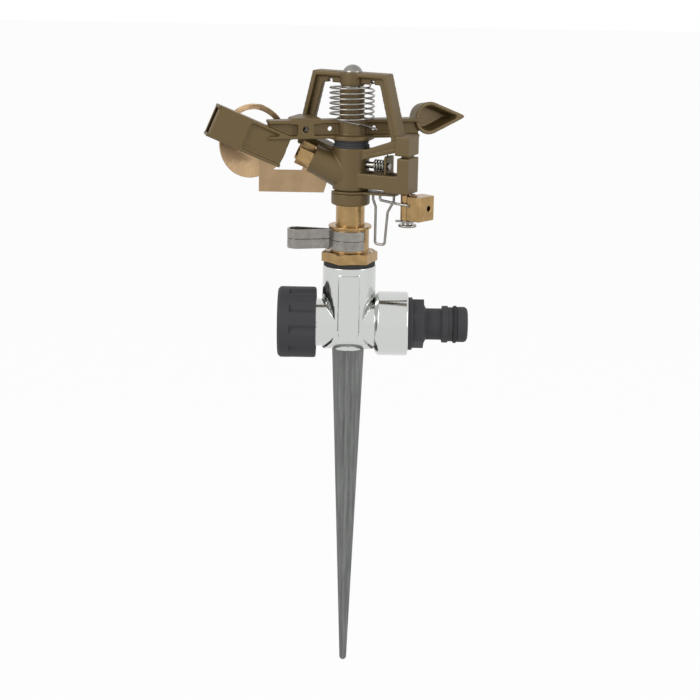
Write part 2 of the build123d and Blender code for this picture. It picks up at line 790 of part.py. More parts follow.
def impact_arm():
    """Hammer arm: hub and sleeve, two I-beams, striker, hole boss, spoon and weight cup."""
    hub = turned([(0, arm_low), (arm_flange_radius, arm_low), (arm_flange_radius, arm_low + arm_flange_height),
                  (arm_hub_radius, arm_low + arm_flange_height), (arm_hub_radius, arm_low + arm_hub_height),
                  (arm_sleeve_radius, arm_low + arm_hub_height), (arm_sleeve_radius, arm_sleeve_top),
                  (0, arm_sleeve_top)])
    low = arm_low + beam_low
    high = low + beam_height
    frame = beam(-left_beam_reach, -2) + beam(2, right_beam_reach)
    frame += block(-hole_boss_out - hole_boss_half, -hole_boss_out + hole_boss_half,
                   -beam_half, beam_half, low, high)
    frame += striker()
    boss_middle = (low + high) / 2
    frame -= cross_rod(hole_boss_bore, -hole_boss_out, boss_middle, -beam_half - 1, beam_half + 1)
    for side in (-1, 1):
        frame -= cross_rod(tail_hole_radius, side * tail_hole_out, boss_middle, -beam_half - 1, beam_half + 1)
    cup_place = Pos(cup_out, 0, arm_low + cup_rise) * Rot(0, 0, cup_turn) * Rot(90, 0, 0)
    body = hub + arm_frame * frame + spoon_frame * spoon() + arm_frame * cup_place * weight_cup()
    return body - rod(pin_radius + 2 * fit + arm_bushing_wall, arm_low - 1, arm_sleeve_top + 1)


def arm_spring():
    """Wound spring round the arm's sleeve, hooked to the arm below and the bridge above."""
    low = arm_low + arm_hub_height - 0.2
    height = spring_pitch * spring_turns
    start_turn = 215.0 + arm_yaw
    path = Helix(spring_pitch, height, spring_radius)
    start = Plane(origin=path @ 0, z_dir=path % 0)
    coil = Pos(0, 0, low) * Rot(0, 0, start_turn) * sweep(start * Circle(spring_wire), path=path)
    ends = [start_turn, start_turn + 360 * spring_turns]
    first = turn_point(ends[0], low)
    last = turn_point(ends[1], low + height)
    hole_z = arm_low + beam_low + beam_height / 2
    middle = turn_point(start_turn + 58, low - 1.7)
    side = math.radians(arm_yaw)
    before = (tail_hole_out * math.cos(side) + 5.0 * math.sin(side),
              tail_hole_out * math.sin(side) - 5.0 * math.cos(side), hole_z)
    through = (tail_hole_out * math.cos(side) - 2.5 * math.sin(side),
               tail_hole_out * math.sin(side) + 2.5 * math.cos(side), hole_z)
    coil += tail([first, middle, before, through])
    lean = math.radians(-bridge_yaw)
    top_z = bridge_high - spring_hole_drop
    near = (spring_hole_out * math.cos(lean) + 3.0 * math.sin(lean),
            spring_hole_out * math.sin(lean) - 3.0 * math.cos(lean), top_z)
    far = (spring_hole_out * math.cos(lean) - 2.5 * math.sin(lean),
           spring_hole_out * math.sin(lean) + 2.5 * math.cos(lean), top_z)
    return coil + tail([last, near, far])


def turn_point(angle, height):
    """A point on the spring's mean cylinder."""
    turn = math.radians(angle)
    return spring_radius * math.cos(turn), spring_radius * math.sin(turn), height


def tail(points):
    """Straight lengths of spring wire with rounded corners."""
    body = None
    for start, end in zip(points, points[1:]):
        line = Line(start, end)
        piece = extrude(Plane(origin=start, z_dir=line % 0) * Circle(spring_wire), line.length)
        piece += Pos(*start) * Sphere(spring_wire)
        body = piece if body is None else body + piece
    return body


def deflector_plate():
    """Brass strip with an ear at its pivot and a disc, windowed and folded across the jet."""
    front = deflector_boss_face + seat
    back = front + deflector_thickness
    middle = (front + back) / 2
    strip = side_plate([(-fold_out, strip_low), (-strip_end, strip_low),
                        (-strip_end + 1.5, strip_low + strip_width / 2),
                        (-ear_out + ear_radius, ear_height), (-ear_out - ear_radius, ear_height),
                        (-ear_out - ear_radius - 2, strip_low + strip_width),
                        (-fold_out, strip_low + strip_width)], front, back)
    strip += cross_rod(ear_radius, -ear_out, ear_height, front, back)
    disc = cross_rod(disc_radius, -disc_out, disc_height, front, back)
    window = cross_rod(disc_radius - disc_rim, -disc_out, disc_height, front - 1, back + 1)
    window &= block(-disc_out - 10.5, -disc_out + 10.5, front - 1, back + 1, disc_window_low, disc_height + disc_radius)
    disc -= window
    far = disc_out + disc_radius + 1
    left_half = block(-far, -fold_out, front - 1, back + 1, strip_low, disc_height + disc_radius + 1)
    left = disc & left_half
    crease = Pos(-fold_out, middle, 0)
    left = crease * Rot(0, 0, deflector_fold) * Pos(fold_out, -middle, 0) * left
    seam = Pos(-fold_out, middle, 0) * rod(deflector_thickness / 2, strip_low, disc_height + disc_radius)
    seam -= Pos(0, 0, 0) * cross_rod(disc_radius - disc_rim, -disc_out, disc_height, front - 1, back + 1) & block(
        -disc_out - 10.5, -disc_out + 10.5, front - 1, back + 1, disc_window_low, disc_height + disc_radius)
    chord = math.sqrt(disc_radius ** 2 - (disc_out - fold_out) ** 2)
    seam &= block(-fold_out - 1, -fold_out + 1, front - 1, back + 1, strip_low, disc_height + chord)
    body = strip + (disc - left_half) + left + seam
    return body - cross_rod(screw_radius + fit, -ear_out, ear_height, front - 1, back + 1)


def deflector_washer():
    """Washer under the deflector's screw head."""
    low = deflector_boss_face + seat + deflector_thickness + fit
    washer = cross_rod(screw_washer_radius, -ear_out, ear_height, low, low + screw_washer_thickness)
    return washer - cross_rod(screw_radius + fit, -ear_out, ear_height, low - 1, low + 2)


def deflector_screw():
    """Slotted screw that clamps the deflector to the nozzle tube."""
    head_low = deflector_boss_face + seat + deflector_thickness + 2 * fit + screw_washer_thickness
    head_high = head_low + screw_head_height
    screw = cross_rod(screw_radius, -ear_out, ear_height, deflector_boss_face - screw_reach, head_low + 0.5)
    screw += cross_rod(screw_head_radius, -ear_out, ear_height, head_low, head_high)
    return screw - block(-ear_out - screw_head_radius - 1, -ear_out + screw_head_radius + 1,
                         head_high - screw_slot, head_high + 1,
                         ear_height - screw_slot / 2, ear_height + screw_slot / 2)


def trip_spring():
    """Small steel coil in the housing window, its axis along the housing."""
    height = coil_length - 2 * coil_wire / 2
    path = Helix(height / coil_turns, height, coil_radius)
    start = Plane(origin=path @ 0, z_dir=path % 0)
    coil = sweep(start * Circle(coil_wire / 2), path=path)
    place = Pos(coil_start + coil_wire / 2, 0, hub_low + coil_height) * Rot(0, 90, 0)
    return bridge_frame * place * coil


def spring_pin():
    """Pin through the steel coil, held in the hub and the lug."""
    end = coil_start + coil_length + coil_lug_thickness + 0.6
    return bridge_frame * Pos(0, 0, hub_low + coil_height) * Rot(0, 90, 0) * rod(
        coil_pin_radius, hub_radius - 2.3, end)


def trip_lever():
    """Thin lever plate: an open ring in the hub's groove and a tapered tongue with its holes."""
    low = lever_low
    high = low + lever_thickness
    inner = lever_groove_radius + fit
    half_open = math.radians(lever_opening / 2)
    reach = 2 * lever_ring_radius
    opening = flat_plate([(0, 0), (-reach * math.cos(half_open), reach * math.sin(half_open)),
                          (-reach, 0), (-reach * math.cos(half_open), -reach * math.sin(half_open))],
                         low - 1, high + 1)
    plate = rod(lever_ring_radius, low, high)
    plate += flat_plate([(inner, -lever_root_half), (lever_reach, -lever_tip_half),
                         (lever_reach, lever_tip_half), (inner, lever_root_half)], low, high)
    plate -= rod(inner, low - 1, high + 1)
    plate -= opening
    for out in (wire_inner_out, wire_outer_out):
        plate -= Pos(out, wire_offset, 0) * rod(wire_radius + fit, low - 1, high + 1)
    slot_half = link_slot_length / 2
    plate -= block(link_out - slot_half, link_out + slot_half, -link_offset - wire_radius - 0.2,
                   -link_offset + wire_radius + 0.2, low - 1, high + 1)
    return bridge_frame * plate


def trip_wire():
    """U-shaped wire that hangs from the lever past the collars."""
    top = lever_low + lever_thickness
    low_outer = wire_low_inner_out + 2 * wire_bend_radius
    points = [(wire_inner_out, wire_offset, top), (wire_inner_out, wire_offset, lever_low - 2.5),
              (wire_low_inner_out, wire_offset, lever_low - 6),
              (wire_low_inner_out, wire_offset, wire_low), (low_outer, wire_offset, wire_low),
              (low_outer + 1.2, wire_offset, lever_low - 8), (wire_outer_out, wire_offset, lever_low - 2.5),
              (wire_outer_out, wire_offset, top)]
    return bridge_frame * wire_solid(points, wire_radius, 1.2)


def trip_link():
    """Wire from the block's face to the lever's slot."""
    run_z = lever_low - link_drop
    clear_v = -block_boss_radius - wire_radius - play
    end_x = trip_pin_out + 2.2
    points = [(link_out, -link_offset, lever_low + lever_thickness - 0.1), (link_out, -link_offset, run_z),
              (trip_pin_out - 3, clear_v, run_z - 0.6), (end_x, clear_v - 0.2, run_z - 0.8),
              (end_x + 0.6, clear_v + 3.0, run_z - 0.8)]
    return bridge_frame * wire_solid(points, wire_radius, 0.8)


def trip_block():
    """Brass block: a round boss on the pin and a square head with rounded edges."""
    boss = rod(block_boss_radius, block_low, block_top)
    head = block(block_inner, block_reach, -block_boss_radius, block_back, block_low + play, block_top - play)
    head = fillet(head.edges().filter_by(Axis.Z), block_edge)
    body = boss + head
    body -= rod(trip_pin_radius + fit, block_low - 1, block_top + 1)
    middle = (block_low + block_top) / 2
    hole = Pos(0, block_hole_back, middle) * Rot(0, 90, 0) * rod(block_hole_radius, 3.0, block_reach + 1)
    return block_frame * (body - hole) - trip_link()


def trip_pin():
    """Headed pin that carries the block under the housing."""
    pin = rod(trip_pin_radius, trip_head_top, skirt_low + trip_pin_depth - seat)
    pin += rod(trip_head_radius, trip_head_top - trip_head_thickness, trip_head_top)
    pin += rod(trip_collar_radius, trip_head_top, clip_low)
    return bridge_frame * Pos(trip_pin_out, 0, 0) * pin


def pin_clip():
    """Clip under the block with a short tongue."""
    clip = rod(clip_radius, clip_low, clip_low + clip_thickness)
    clip += block(-clip_tongue_reach, 0, -clip_tongue_half, clip_tongue_half, clip_low, clip_low + clip_thickness)
    clip -= rod(trip_pin_radius + fit, clip_low - 1, clip_low + 2)
    return bridge_frame * Pos(trip_pin_out, 0, 0) * Rot(0, 0, bridge_yaw) * clip


nodes = {
    "ground_spike": ground_spike,
    "tee_body": tee_body,
    "end_cap": end_cap,
    "end_cap_washer": end_cap_washer,
    "hose_nipple": hose_nipple,
    "nipple_o_ring": nipple_o_ring,
    "nipple_washer": nipple_washer,
    "bearing_washer": bearing_washer,
    "bearing_nut": bearing_nut,
    "seal_washer": seal_washer,
    "thrust_washer": thrust_washer,
    "riser_tube": riser_tube,
    "friction_collar_lower": lambda: friction_collar(hex_top + collar_lower_seat),
    "friction_collar_upper": lambda: friction_collar(hex_top + collar_lower_seat + collar_pitch),
    "head_body": head_body,
    "nozzle": nozzle,
    "fulcrum_pin": fulcrum_pin,
    "arm_bush_lower": arm_bush_lower,
    "arm_washer_upper": arm_washer_upper,
    "arm_bushing": arm_bushing,
    "impact_arm": impact_arm,
    "arm_spring": arm_spring,
    "deflector_plate": deflector_plate,
    "deflector_washer": deflector_washer,
    "deflector_screw": deflector_screw,
    "trip_spring": trip_spring,
    "spring_pin": spring_pin,
    "trip_lever": trip_lever,
    "trip_wire": trip_wire,
    "trip_link": trip_link,
    "trip_block": trip_block,
    "trip_pin": trip_pin,
    "pin_clip": pin_clip,
}

if __name__ == "__main__":
    os.makedirs("parts", exist_ok=True)
    for name, make in nodes.items():
        export_step(make(), f"parts/{name}.step")
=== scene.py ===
"""Finishes an impulse sprinkler on a cross-bladed ground spike.

Metres, +Z up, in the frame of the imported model: the origin is on the swivel axis at the root of
the spike, and -Y is the front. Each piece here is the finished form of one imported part, with eased
edges and a worked surface, and rides on that part's body.
"""

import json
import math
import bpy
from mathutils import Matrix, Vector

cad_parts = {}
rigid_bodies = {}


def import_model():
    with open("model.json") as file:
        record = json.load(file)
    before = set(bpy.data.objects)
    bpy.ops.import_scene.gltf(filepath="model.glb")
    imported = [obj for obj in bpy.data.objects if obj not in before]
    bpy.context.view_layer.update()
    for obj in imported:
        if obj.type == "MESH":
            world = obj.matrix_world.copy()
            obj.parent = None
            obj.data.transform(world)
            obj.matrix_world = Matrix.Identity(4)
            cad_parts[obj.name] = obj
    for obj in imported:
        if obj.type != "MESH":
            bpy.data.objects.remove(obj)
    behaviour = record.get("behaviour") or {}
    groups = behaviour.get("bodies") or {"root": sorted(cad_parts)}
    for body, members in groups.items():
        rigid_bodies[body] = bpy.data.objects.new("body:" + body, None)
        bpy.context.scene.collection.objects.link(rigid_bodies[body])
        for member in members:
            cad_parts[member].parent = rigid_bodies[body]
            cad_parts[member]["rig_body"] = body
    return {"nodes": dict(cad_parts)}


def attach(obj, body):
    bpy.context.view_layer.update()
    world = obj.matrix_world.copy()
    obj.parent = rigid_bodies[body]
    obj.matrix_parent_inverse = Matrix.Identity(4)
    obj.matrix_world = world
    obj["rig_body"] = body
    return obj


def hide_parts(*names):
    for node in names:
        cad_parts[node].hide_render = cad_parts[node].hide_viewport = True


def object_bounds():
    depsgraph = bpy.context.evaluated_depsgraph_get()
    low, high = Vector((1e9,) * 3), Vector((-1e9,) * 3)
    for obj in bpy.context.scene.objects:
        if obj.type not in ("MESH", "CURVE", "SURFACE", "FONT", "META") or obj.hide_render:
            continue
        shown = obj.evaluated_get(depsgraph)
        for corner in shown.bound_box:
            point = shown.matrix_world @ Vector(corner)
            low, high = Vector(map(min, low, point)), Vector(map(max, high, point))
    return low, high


bl_info = {
    "name": "Impulse sprinkler",
    "version": (1, 0, 0),
    "blender": (4, 5, 0),
    "location": "View3D > Sidebar > Sprinkler",
    "description": "Finishes the castings, turned parts and wires of an impulse sprinkler",
    "category": "Object",
}

import bmesh
import bpy
from bpy.props import FloatProperty, FloatVectorProperty, IntProperty, PointerProperty
from mathutils import Matrix, Vector

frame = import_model()
cad_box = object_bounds()

MM = 0.001
WELD = 0.002 * MM
FLAT = math.radians(0.4)
SHARP = math.radians(35)
SMOOTH = math.radians(38)
EDGE_STEPS = 2
EASE = 0.5

RUBBER = (0.010, 0.010, 0.010), (0.016, 0.016, 0.016)
NYLON = (0.62, 0.58, 0.48), (0.72, 0.69, 0.60)

FLOOR_HALF = 4.0
FLOOR_GAP = 0.1 * MM
PAPER_SHADE = 0.85
PAPER_GLOW = 0.95
SENSOR_WIDTH = 36
LIT_POINT = (0, 0, 30 * MM)
SEEN_POINT = (0.96 * MM, 0, -1.8 * MM)
KEY_PLACE = (-0.75, -0.65, 0.55)
KEY_SIZE = (0.5, 0.7)
FILL_PLACE = (0.85, -0.45, 0.35)
FILL_SIZE = (0.4, 0.7)


# Settings


def colour(label, value, note):
    return FloatVectorProperty(
        name=label, description=note, subtype="COLOR", size=3, min=0, max=1, default=value
    )


class SprinklerColours(bpy.types.PropertyGroup):
    """Colours of the finishes, as linear values."""

    paint: colour("Paint", (0.070, 0.048, 0.017), "Olive bronze paint of the castings")
    paint_dark: colour("Paint, thin", (0.050, 0.035, 0.014), "Where the paint lies thin")
    chrome: colour("Chrome", (0.38, 0.38, 0.365), "Bright plate of the tee")
    zinc: colour("Zinc", (0.19, 0.195, 0.19), "Satin metal of the spike")
    brass: colour("Brass", (0.43, 0.28, 0.125), "Turned brass")
    brass_sheet: colour("Sheet brass", (0.44, 0.305, 0.175), "Rolled brass of the deflector")
    steel: colour("Steel", (0.31, 0.295, 0.27), "Wire, pins and strip")
    plastic: colour("Plastic", (0.0095, 0.0100, 0.0135), "Moulded black plastic")


class SprinklerForms(bpy.types.PropertyGroup):
    """Sizes of the eased edges."""

    machined_edge: FloatProperty(
        name="Machined edge", description="Width of a turned or milled part's broken edge",
        default=0.15 * MM, min=0, unit="LENGTH",
    )
    moulded_edge: FloatProperty(
        name="Moulded edge", description="Width of a plastic moulding's edge",
        default=0.35 * MM, min=0, unit="LENGTH",
    )
    cast_grain: FloatProperty(
        name="Casting facet", description="Facet size that the castings are remade in",
        default=0.34 * MM, min=0.1 * MM, unit="LENGTH",
    )
    cast_passes: IntProperty(
        name="Casting passes", description="Smoothing passes that ease a casting's edges",
        default=4, min=0, max=40,
    )


class SprinklerStage(bpy.types.PropertyGroup):
    """Camera, lamps and floor."""

    distance: FloatProperty(
        name="Distance", description="From the camera to the point it looks at",
        default=0.83, min=0.1, unit="LENGTH",
    )
    pitch: FloatProperty(
        name="Pitch", description="How far the camera looks down",
        default=math.radians(14.6), subtype="ANGLE",
    )
    roll: FloatProperty(
        name="Roll", description="Turn of the camera about its own axis",
        default=math.radians(1.0), subtype="ANGLE",
    )
    lens: FloatProperty(name="Lens", description="Focal length in millimetres", default=92.06)
    key: FloatProperty(name="Key lamp", description="Power of the lamp at the left", default=5.0)
    fill: FloatProperty(name="Fill lamp", description="Power of the lamp at the right", default=3.5)
    sky: FloatProperty(name="Sky", description="Even light from all round", default=0.5)


def colours():
    """The colours as set."""
    return bpy.context.scene.sprinkler_colours


def forms():
    """The edge sizes as set."""
    return bpy.context.scene.sprinkler_forms


# Finishes


class Finish:
    """One procedural material, built from named steps on Object coordinates."""

    def __init__(self, name, metallic):
        self.material = bpy.data.materials.new(name)
        self.material.use_nodes = True
        self.nodes = self.material.node_tree.nodes
        self.links = self.material.node_tree.links
        self.shader = self.nodes["Principled BSDF"]
        self.shader.inputs["Metallic"].default_value = metallic
        self.place = self.nodes.new("ShaderNodeTexCoord").outputs["Object"]

    def stretched(self, x, y, z):
        """The piece's own coordinates, scaled along each axis."""
        mapping = self.nodes.new("ShaderNodeMapping")
        mapping.inputs["Scale"].default_value = (x, y, z)
        self.links.new(self.place, mapping.inputs["Vector"])
        return mapping.outputs["Vector"]

    def cloud(self, size, detail=2.0, vector=None):
        """Soft noise whose blotches are about size across."""
        noise = self.nodes.new("ShaderNodeTexNoise")
        noise.inputs["Scale"].default_value = 1 / size
        noise.inputs["Detail"].default_value = detail
        self.links.new(vector or self.place, noise.inputs["Vector"])
        return noise.outputs["Fac"]

    def spread(self, factor, low, high, start=0.35, end=0.65):
        """Numbers from low to high as the factor goes from start to end."""
        mapped = self.nodes.new("ShaderNodeMapRange")
        limits = {"From Min": start, "From Max": end, "To Min": low, "To Max": high}
        for label, value in limits.items():
            mapped.inputs[label].default_value = value
        self.links.new(factor, mapped.inputs["Value"])
        return mapped.outputs["Result"]

    def tint(self, factor, low, high, start=0.35, end=0.65):
        """Base colour from low to high as the factor goes from start to end."""
        ramp = self.nodes.new("ShaderNodeValToRGB")
        for stop, place, shade in zip(ramp.color_ramp.elements, (start, end), (low, high)):
            stop.position = place
            stop.color = (*shade, 1)
        self.links.new(factor, ramp.inputs["Fac"])
        self.links.new(ramp.outputs["Color"], self.shader.inputs["Base Color"])

    def gloss(self, factor, low, high, start=0.35, end=0.65):
        """Roughness from low to high as the factor goes from start to end."""
        self.links.new(self.spread(factor, low, high, start, end), self.shader.inputs["Roughness"])

    def relief(self, height, depth, under=None):
        """Bump of that depth in metres, over another one if given."""
        bump = self.nodes.new("ShaderNodeBump")
        bump.inputs["Distance"].default_value = depth
        bump.inputs["Strength"].default_value = 1.0
        self.links.new(height, bump.inputs["Height"])
        if under:
            self.links.new(under, bump.inputs["Normal"])
        self.links.new(bump.outputs["Normal"], self.shader.inputs["Normal"])
        return bump.outputs["Normal"]


def scaled(shade, share):
    """The shade, lighter or darker by a share."""
    return tuple(min(1.0, value * share) for value in shade)


def bronze_paint():
    """Semi-gloss paint over a die casting: fine orange peel and a slow drift of shade."""
    finish = Finish("bronze_paint", 0.25)
    finish.shader.inputs["Coat Weight"].default_value = 0.35
    finish.shader.inputs["Coat Roughness"].default_value = 0.22
    finish.tint(finish.cloud(9 * MM, 4), colours().paint_dark, colours().paint)
    finish.gloss(finish.cloud(2.2 * MM, 3), 0.30, 0.44)
    skin = finish.relief(finish.cloud(1.6 * MM, 2), 0.05 * MM)
    finish.relief(finish.cloud(0.45 * MM, 1), 0.012 * MM, skin)
    return finish.material


def chrome_plate():
    """Bright plate on a casting, with the slow waves that polishing leaves."""
    finish = Finish("chrome_plate", 1.0)
    finish.tint(finish.cloud(7 * MM, 2), scaled(colours().chrome, 0.92), colours().chrome)
    finish.gloss(finish.cloud(3 * MM, 4), 0.06, 0.14)
    finish.relief(finish.cloud(6 * MM, 1), 0.06 * MM)
    return finish.material


def satin_zinc():
    """Tumbled casting of the spike: lengthwise streaks and dull patches."""
    finish = Finish("satin_zinc", 1.0)
    streaks = finish.cloud(1 * MM, 4, finish.stretched(1.0, 1.0, 0.05))
    finish.tint(streaks, scaled(colours().zinc, 0.78), scaled(colours().zinc, 1.15))
    finish.gloss(finish.cloud(5 * MM, 4), 0.26, 0.42)
    grain = finish.relief(streaks, 0.02 * MM)
    finish.relief(finish.cloud(4 * MM, 3), 0.10 * MM, grain)
    return finish.material


def turned_brass(name, axis):
    """Turned brass, with fine tool marks round the given axis."""
    finish = Finish(name, 1.0)
    along = [0.02, 0.02, 0.02]
    along["XYZ".index(axis)] = 1.0
    marks = finish.cloud(0.35 * MM, 2, finish.stretched(*along))
    finish.tint(finish.cloud(4 * MM, 3), scaled(colours().brass, 0.80), colours().brass)
    finish.gloss(finish.cloud(2 * MM, 3), 0.20, 0.34)
    finish.relief(marks, 0.012 * MM)
    return finish.material


def sheet_brass():
    """Rolled sheet with a dull lacquered surface."""
    finish = Finish("sheet_brass", 1.0)
    grain = finish.cloud(0.5 * MM, 3, finish.stretched(0.06, 1.0, 1.0))
    finish.tint(
        finish.cloud(6 * MM, 4), scaled(colours().brass_sheet, 0.85), colours().brass_sheet
    )
    finish.gloss(finish.cloud(3 * MM, 3), 0.26, 0.40)
    finish.relief(grain, 0.012 * MM)
    return finish.material


def bright_steel():
    """Drawn wire and strip."""
    finish = Finish("bright_steel", 1.0)
    finish.tint(finish.cloud(3 * MM, 3), scaled(colours().steel, 0.8), colours().steel)
    finish.gloss(finish.cloud(1.2 * MM, 3), 0.18, 0.34)
    finish.relief(finish.cloud(0.3 * MM, 2), 0.01 * MM)
    return finish.material


def black_plastic():
    """Moulded plastic with a fine spark-eroded texture."""
    finish = Finish("black_plastic", 0.0)
    finish.shader.inputs["Specular IOR Level"].default_value = 0.3
    shade = colours().plastic
    finish.tint(finish.cloud(8 * MM, 2), scaled(shade, 0.8), scaled(shade, 1.2))
    finish.gloss(finish.cloud(1.5 * MM, 3), 0.30, 0.42)
    finish.relief(finish.cloud(0.25 * MM, 2), 0.012 * MM)
    return finish.material


def black_rubber():
    """Matt rubber of the washers and the ring."""
    finish = Finish("black_rubber", 0.0)
    finish.shader.inputs["Specular IOR Level"].default_value = 0.3
    finish.tint(finish.cloud(2 * MM, 2), *RUBBER)
    finish.gloss(finish.cloud(1 * MM, 2), 0.5, 0.62)
    finish.relief(finish.cloud(0.4 * MM, 2), 0.01 * MM)
    return finish.material


def natural_nylon():
    """Undyed nylon of the inner bushes."""
    finish = Finish("natural_nylon", 0.0)
    finish.tint(finish.cloud(3 * MM, 2), *NYLON)
    finish.gloss(finish.cloud(1 * MM, 2), 0.34, 0.46)
    return finish.material


MAKERS = {
    "bronze_paint": bronze_paint,
    "chrome_plate": chrome_plate,
    "satin_zinc": satin_zinc,
    "brass_upright": lambda: turned_brass("brass_upright", "Z"),
    "brass_level": lambda: turned_brass("brass_level", "X"),
    "sheet_brass": sheet_brass,
    "bright_steel": bright_steel,
    "black_plastic": black_plastic,
    "black_rubber": black_rubber,
    "natural_nylon": natural_nylon,
}


def finish_named(name):
    """The finish of that name, made once."""
    return bpy.data.materials.get(name) or MAKERS[name]()


# Forms


def merged(node):
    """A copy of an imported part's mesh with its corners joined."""
    form = bmesh.new()
    form.from_mesh(frame["nodes"][node].data)
    bmesh.ops.remove_doubles(form, verts=form.verts, dist=WELD)
    return form


def put(form, name, node, finish, flat_normals=False):
    """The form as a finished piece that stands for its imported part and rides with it."""
    mesh = bpy.data.meshes.new(name)
    form.to_mesh(mesh)
    form.free()
    piece = bpy.data.objects.new(name, mesh)
    bpy.context.scene.collection.objects.link(piece)
    mesh.shade_smooth()
    mesh.set_sharp_from_angle(angle=SMOOTH)
    if flat_normals:
        weighted = piece.modifiers.new("Flat faces", "WEIGHTED_NORMAL")
        weighted.keep_sharp = True
    mesh.materials.append(finish_named(finish))
    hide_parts(node)
    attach(piece, frame["nodes"][node]["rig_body"])
    return piece


def machined(name, node, finish, edge=None):
    """A turned, milled or moulded part with its sharp edges broken."""
    form = merged(node)
    width = forms().machined_edge if edge is None else edge
    bmesh.ops.dissolve_limit(form, angle_limit=FLAT, verts=form.verts, edges=form.edges)
    sharp = [line for line in form.edges if line.is_manifold and line.calc_face_angle() > SHARP]
    if width and sharp:
        bmesh.ops.bevel(
            form, geom=sharp, offset=width, offset_type="OFFSET", affect="EDGES",
            segments=EDGE_STEPS, profile=0.5, material=-1, clamp_overlap=False, loop_slide=True,
        )
    return put(form, name, node, finish, flat_normals=True)


def cast(name, node, finish):
    """A casting: the part's skin remade in small even facets, and its edges eased."""
    form = merged(node)
    piece = put(form, name, node, finish)
    skin = piece.modifiers.new("Skin", "REMESH")
    skin.mode = "VOXEL"
    skin.voxel_size = forms().cast_grain
    ease = piece.modifiers.new("Ease", "SMOOTH")
    ease.factor = EASE
    ease.iterations = forms().cast_passes
    seen = piece.evaluated_get(bpy.context.evaluated_depsgraph_get())
    mesh = bpy.data.meshes.new_from_object(seen)
    piece.modifiers.clear()
    piece.data = mesh
    mesh.name = name
    mesh.shade_smooth()
    return piece


# Pieces


class SPRINKLER_OT_spike(bpy.types.Operator):
    """The cross-bladed ground spike"""

    bl_idname = "sprinkler.spike"
    bl_label = "Ground spike"

    def execute(self, context):
        machined("Spike", "ground_spike", "satin_zinc", 0.25 * MM)
        return {"FINISHED"}


class SPRINKLER_OT_tee(bpy.types.Operator):
    """The plated tee with its collar"""

    bl_idname = "sprinkler.tee"
    bl_label = "Tee"

    def execute(self, context):
        machined("Tee", "tee_body", "chrome_plate", 0.3 * MM)
        return {"FINISHED"}


class SPRINKLER_OT_end_cap(bpy.types.Operator):
    """The fluted screw cap and its seal"""

    bl_idname = "sprinkler.end_cap"
    bl_label = "End cap"

    def execute(self, context):
        edge = forms().moulded_edge
        machined("End_cap", "end_cap", "black_plastic", edge)
        machined("End_cap_seal", "end_cap_washer", "black_rubber")
        return {"FINISHED"}


class SPRINKLER_OT_nipple(bpy.types.Operator):
    """The quick-connect nipple with its ring and washer"""

    bl_idname = "sprinkler.nipple"
    bl_label = "Hose nipple"

    def execute(self, context):
        machined("Nipple", "hose_nipple", "black_plastic", 0.25 * MM)
        machined("Nipple_ring", "nipple_o_ring", "black_rubber", 0)
        machined("Nipple_washer", "nipple_washer", "black_rubber")
        return {"FINISHED"}


class SPRINKLER_OT_bearing(bpy.types.Operator):
    """The brass bearing, the riser and their washers"""

    bl_idname = "sprinkler.bearing"
    bl_label = "Bearing and riser"

    def execute(self, context):
        machined("Bearing_nut", "bearing_nut", "brass_upright", 0.3 * MM)
        machined("Bearing_washer", "bearing_washer", "black_rubber")
        machined("Seal_washer", "seal_washer", "black_rubber")
        machined("Thrust_washer", "thrust_washer", "natural_nylon")
        machined("Riser", "riser_tube", "brass_upright")
        return {"FINISHED"}


class SPRINKLER_OT_collars(bpy.types.Operator):
    """The two part-circle collars with their finger loops"""

    bl_idname = "sprinkler.collars"
    bl_label = "Collars"

    def execute(self, context):
        for name, node in (
            ("Collar_lower", "friction_collar_lower"),
            ("Collar_upper", "friction_collar_upper"),
        ):
            machined(name, node, "bright_steel", 0.12 * MM)
        return {"FINISHED"}


class SPRINKLER_OT_head(bpy.types.Operator):
    """The head casting and its nozzle"""

    bl_idname = "sprinkler.head"
    bl_label = "Head"

    def execute(self, context):
        cast("Head", "head_body", "bronze_paint")
        machined("Nozzle", "nozzle", "brass_level")
        return {"FINISHED"}


class SPRINKLER_OT_arm(bpy.types.Operator):
    """The hammer arm casting with its bushes"""

    bl_idname = "sprinkler.arm"
    bl_label = "Hammer arm"

    def execute(self, context):
        cast("Hammer_arm", "impact_arm", "bronze_paint")
        machined("Arm_bush", "arm_bush_lower", "black_plastic")
        machined("Arm_washer", "arm_washer_upper", "bright_steel", 0.1 * MM)
        machined("Arm_bushing", "arm_bushing", "natural_nylon")
        return {"FINISHED"}


class SPRINKLER_OT_springs(bpy.types.Operator):
    """The return spring of the arm and the small coil in the housing"""

    bl_idname = "sprinkler.springs"
    bl_label = "Springs"

    def execute(self, context):
        machined("Arm_spring", "arm_spring", "bright_steel", 0)
        machined("Trip_spring", "trip_spring", "bright_steel", 0)
        return {"FINISHED"}


class SPRINKLER_OT_pins(bpy.types.Operator):
    """The fulcrum pin and the small pins, clip and screw"""

    bl_idname = "sprinkler.pins"
    bl_label = "Pins"

    def execute(self, context):
        machined("Fulcrum_pin", "fulcrum_pin", "bright_steel", 0.2 * MM)
        machined("Spring_pin", "spring_pin", "bright_steel", 0.1 * MM)
        machined("Trip_pin", "trip_pin", "bright_steel", 0.15 * MM)
        machined("Pin_clip", "pin_clip", "bright_steel", 0.1 * MM)
        machined("Deflector_screw", "deflector_screw", "brass_level", 0.1 * MM)
        machined("Deflector_washer", "deflector_washer", "bright_steel", 0.1 * MM)
        return {"FINISHED"}


class SPRINKLER_OT_deflector(bpy.types.Operator):
    """The folded brass disc and its strip"""

    bl_idname = "sprinkler.deflector"
    bl_label = "Deflector"

    def execute(self, context):
        machined("Deflector", "deflector_plate", "sheet_brass", 0.12 * MM)
        return {"FINISHED"}


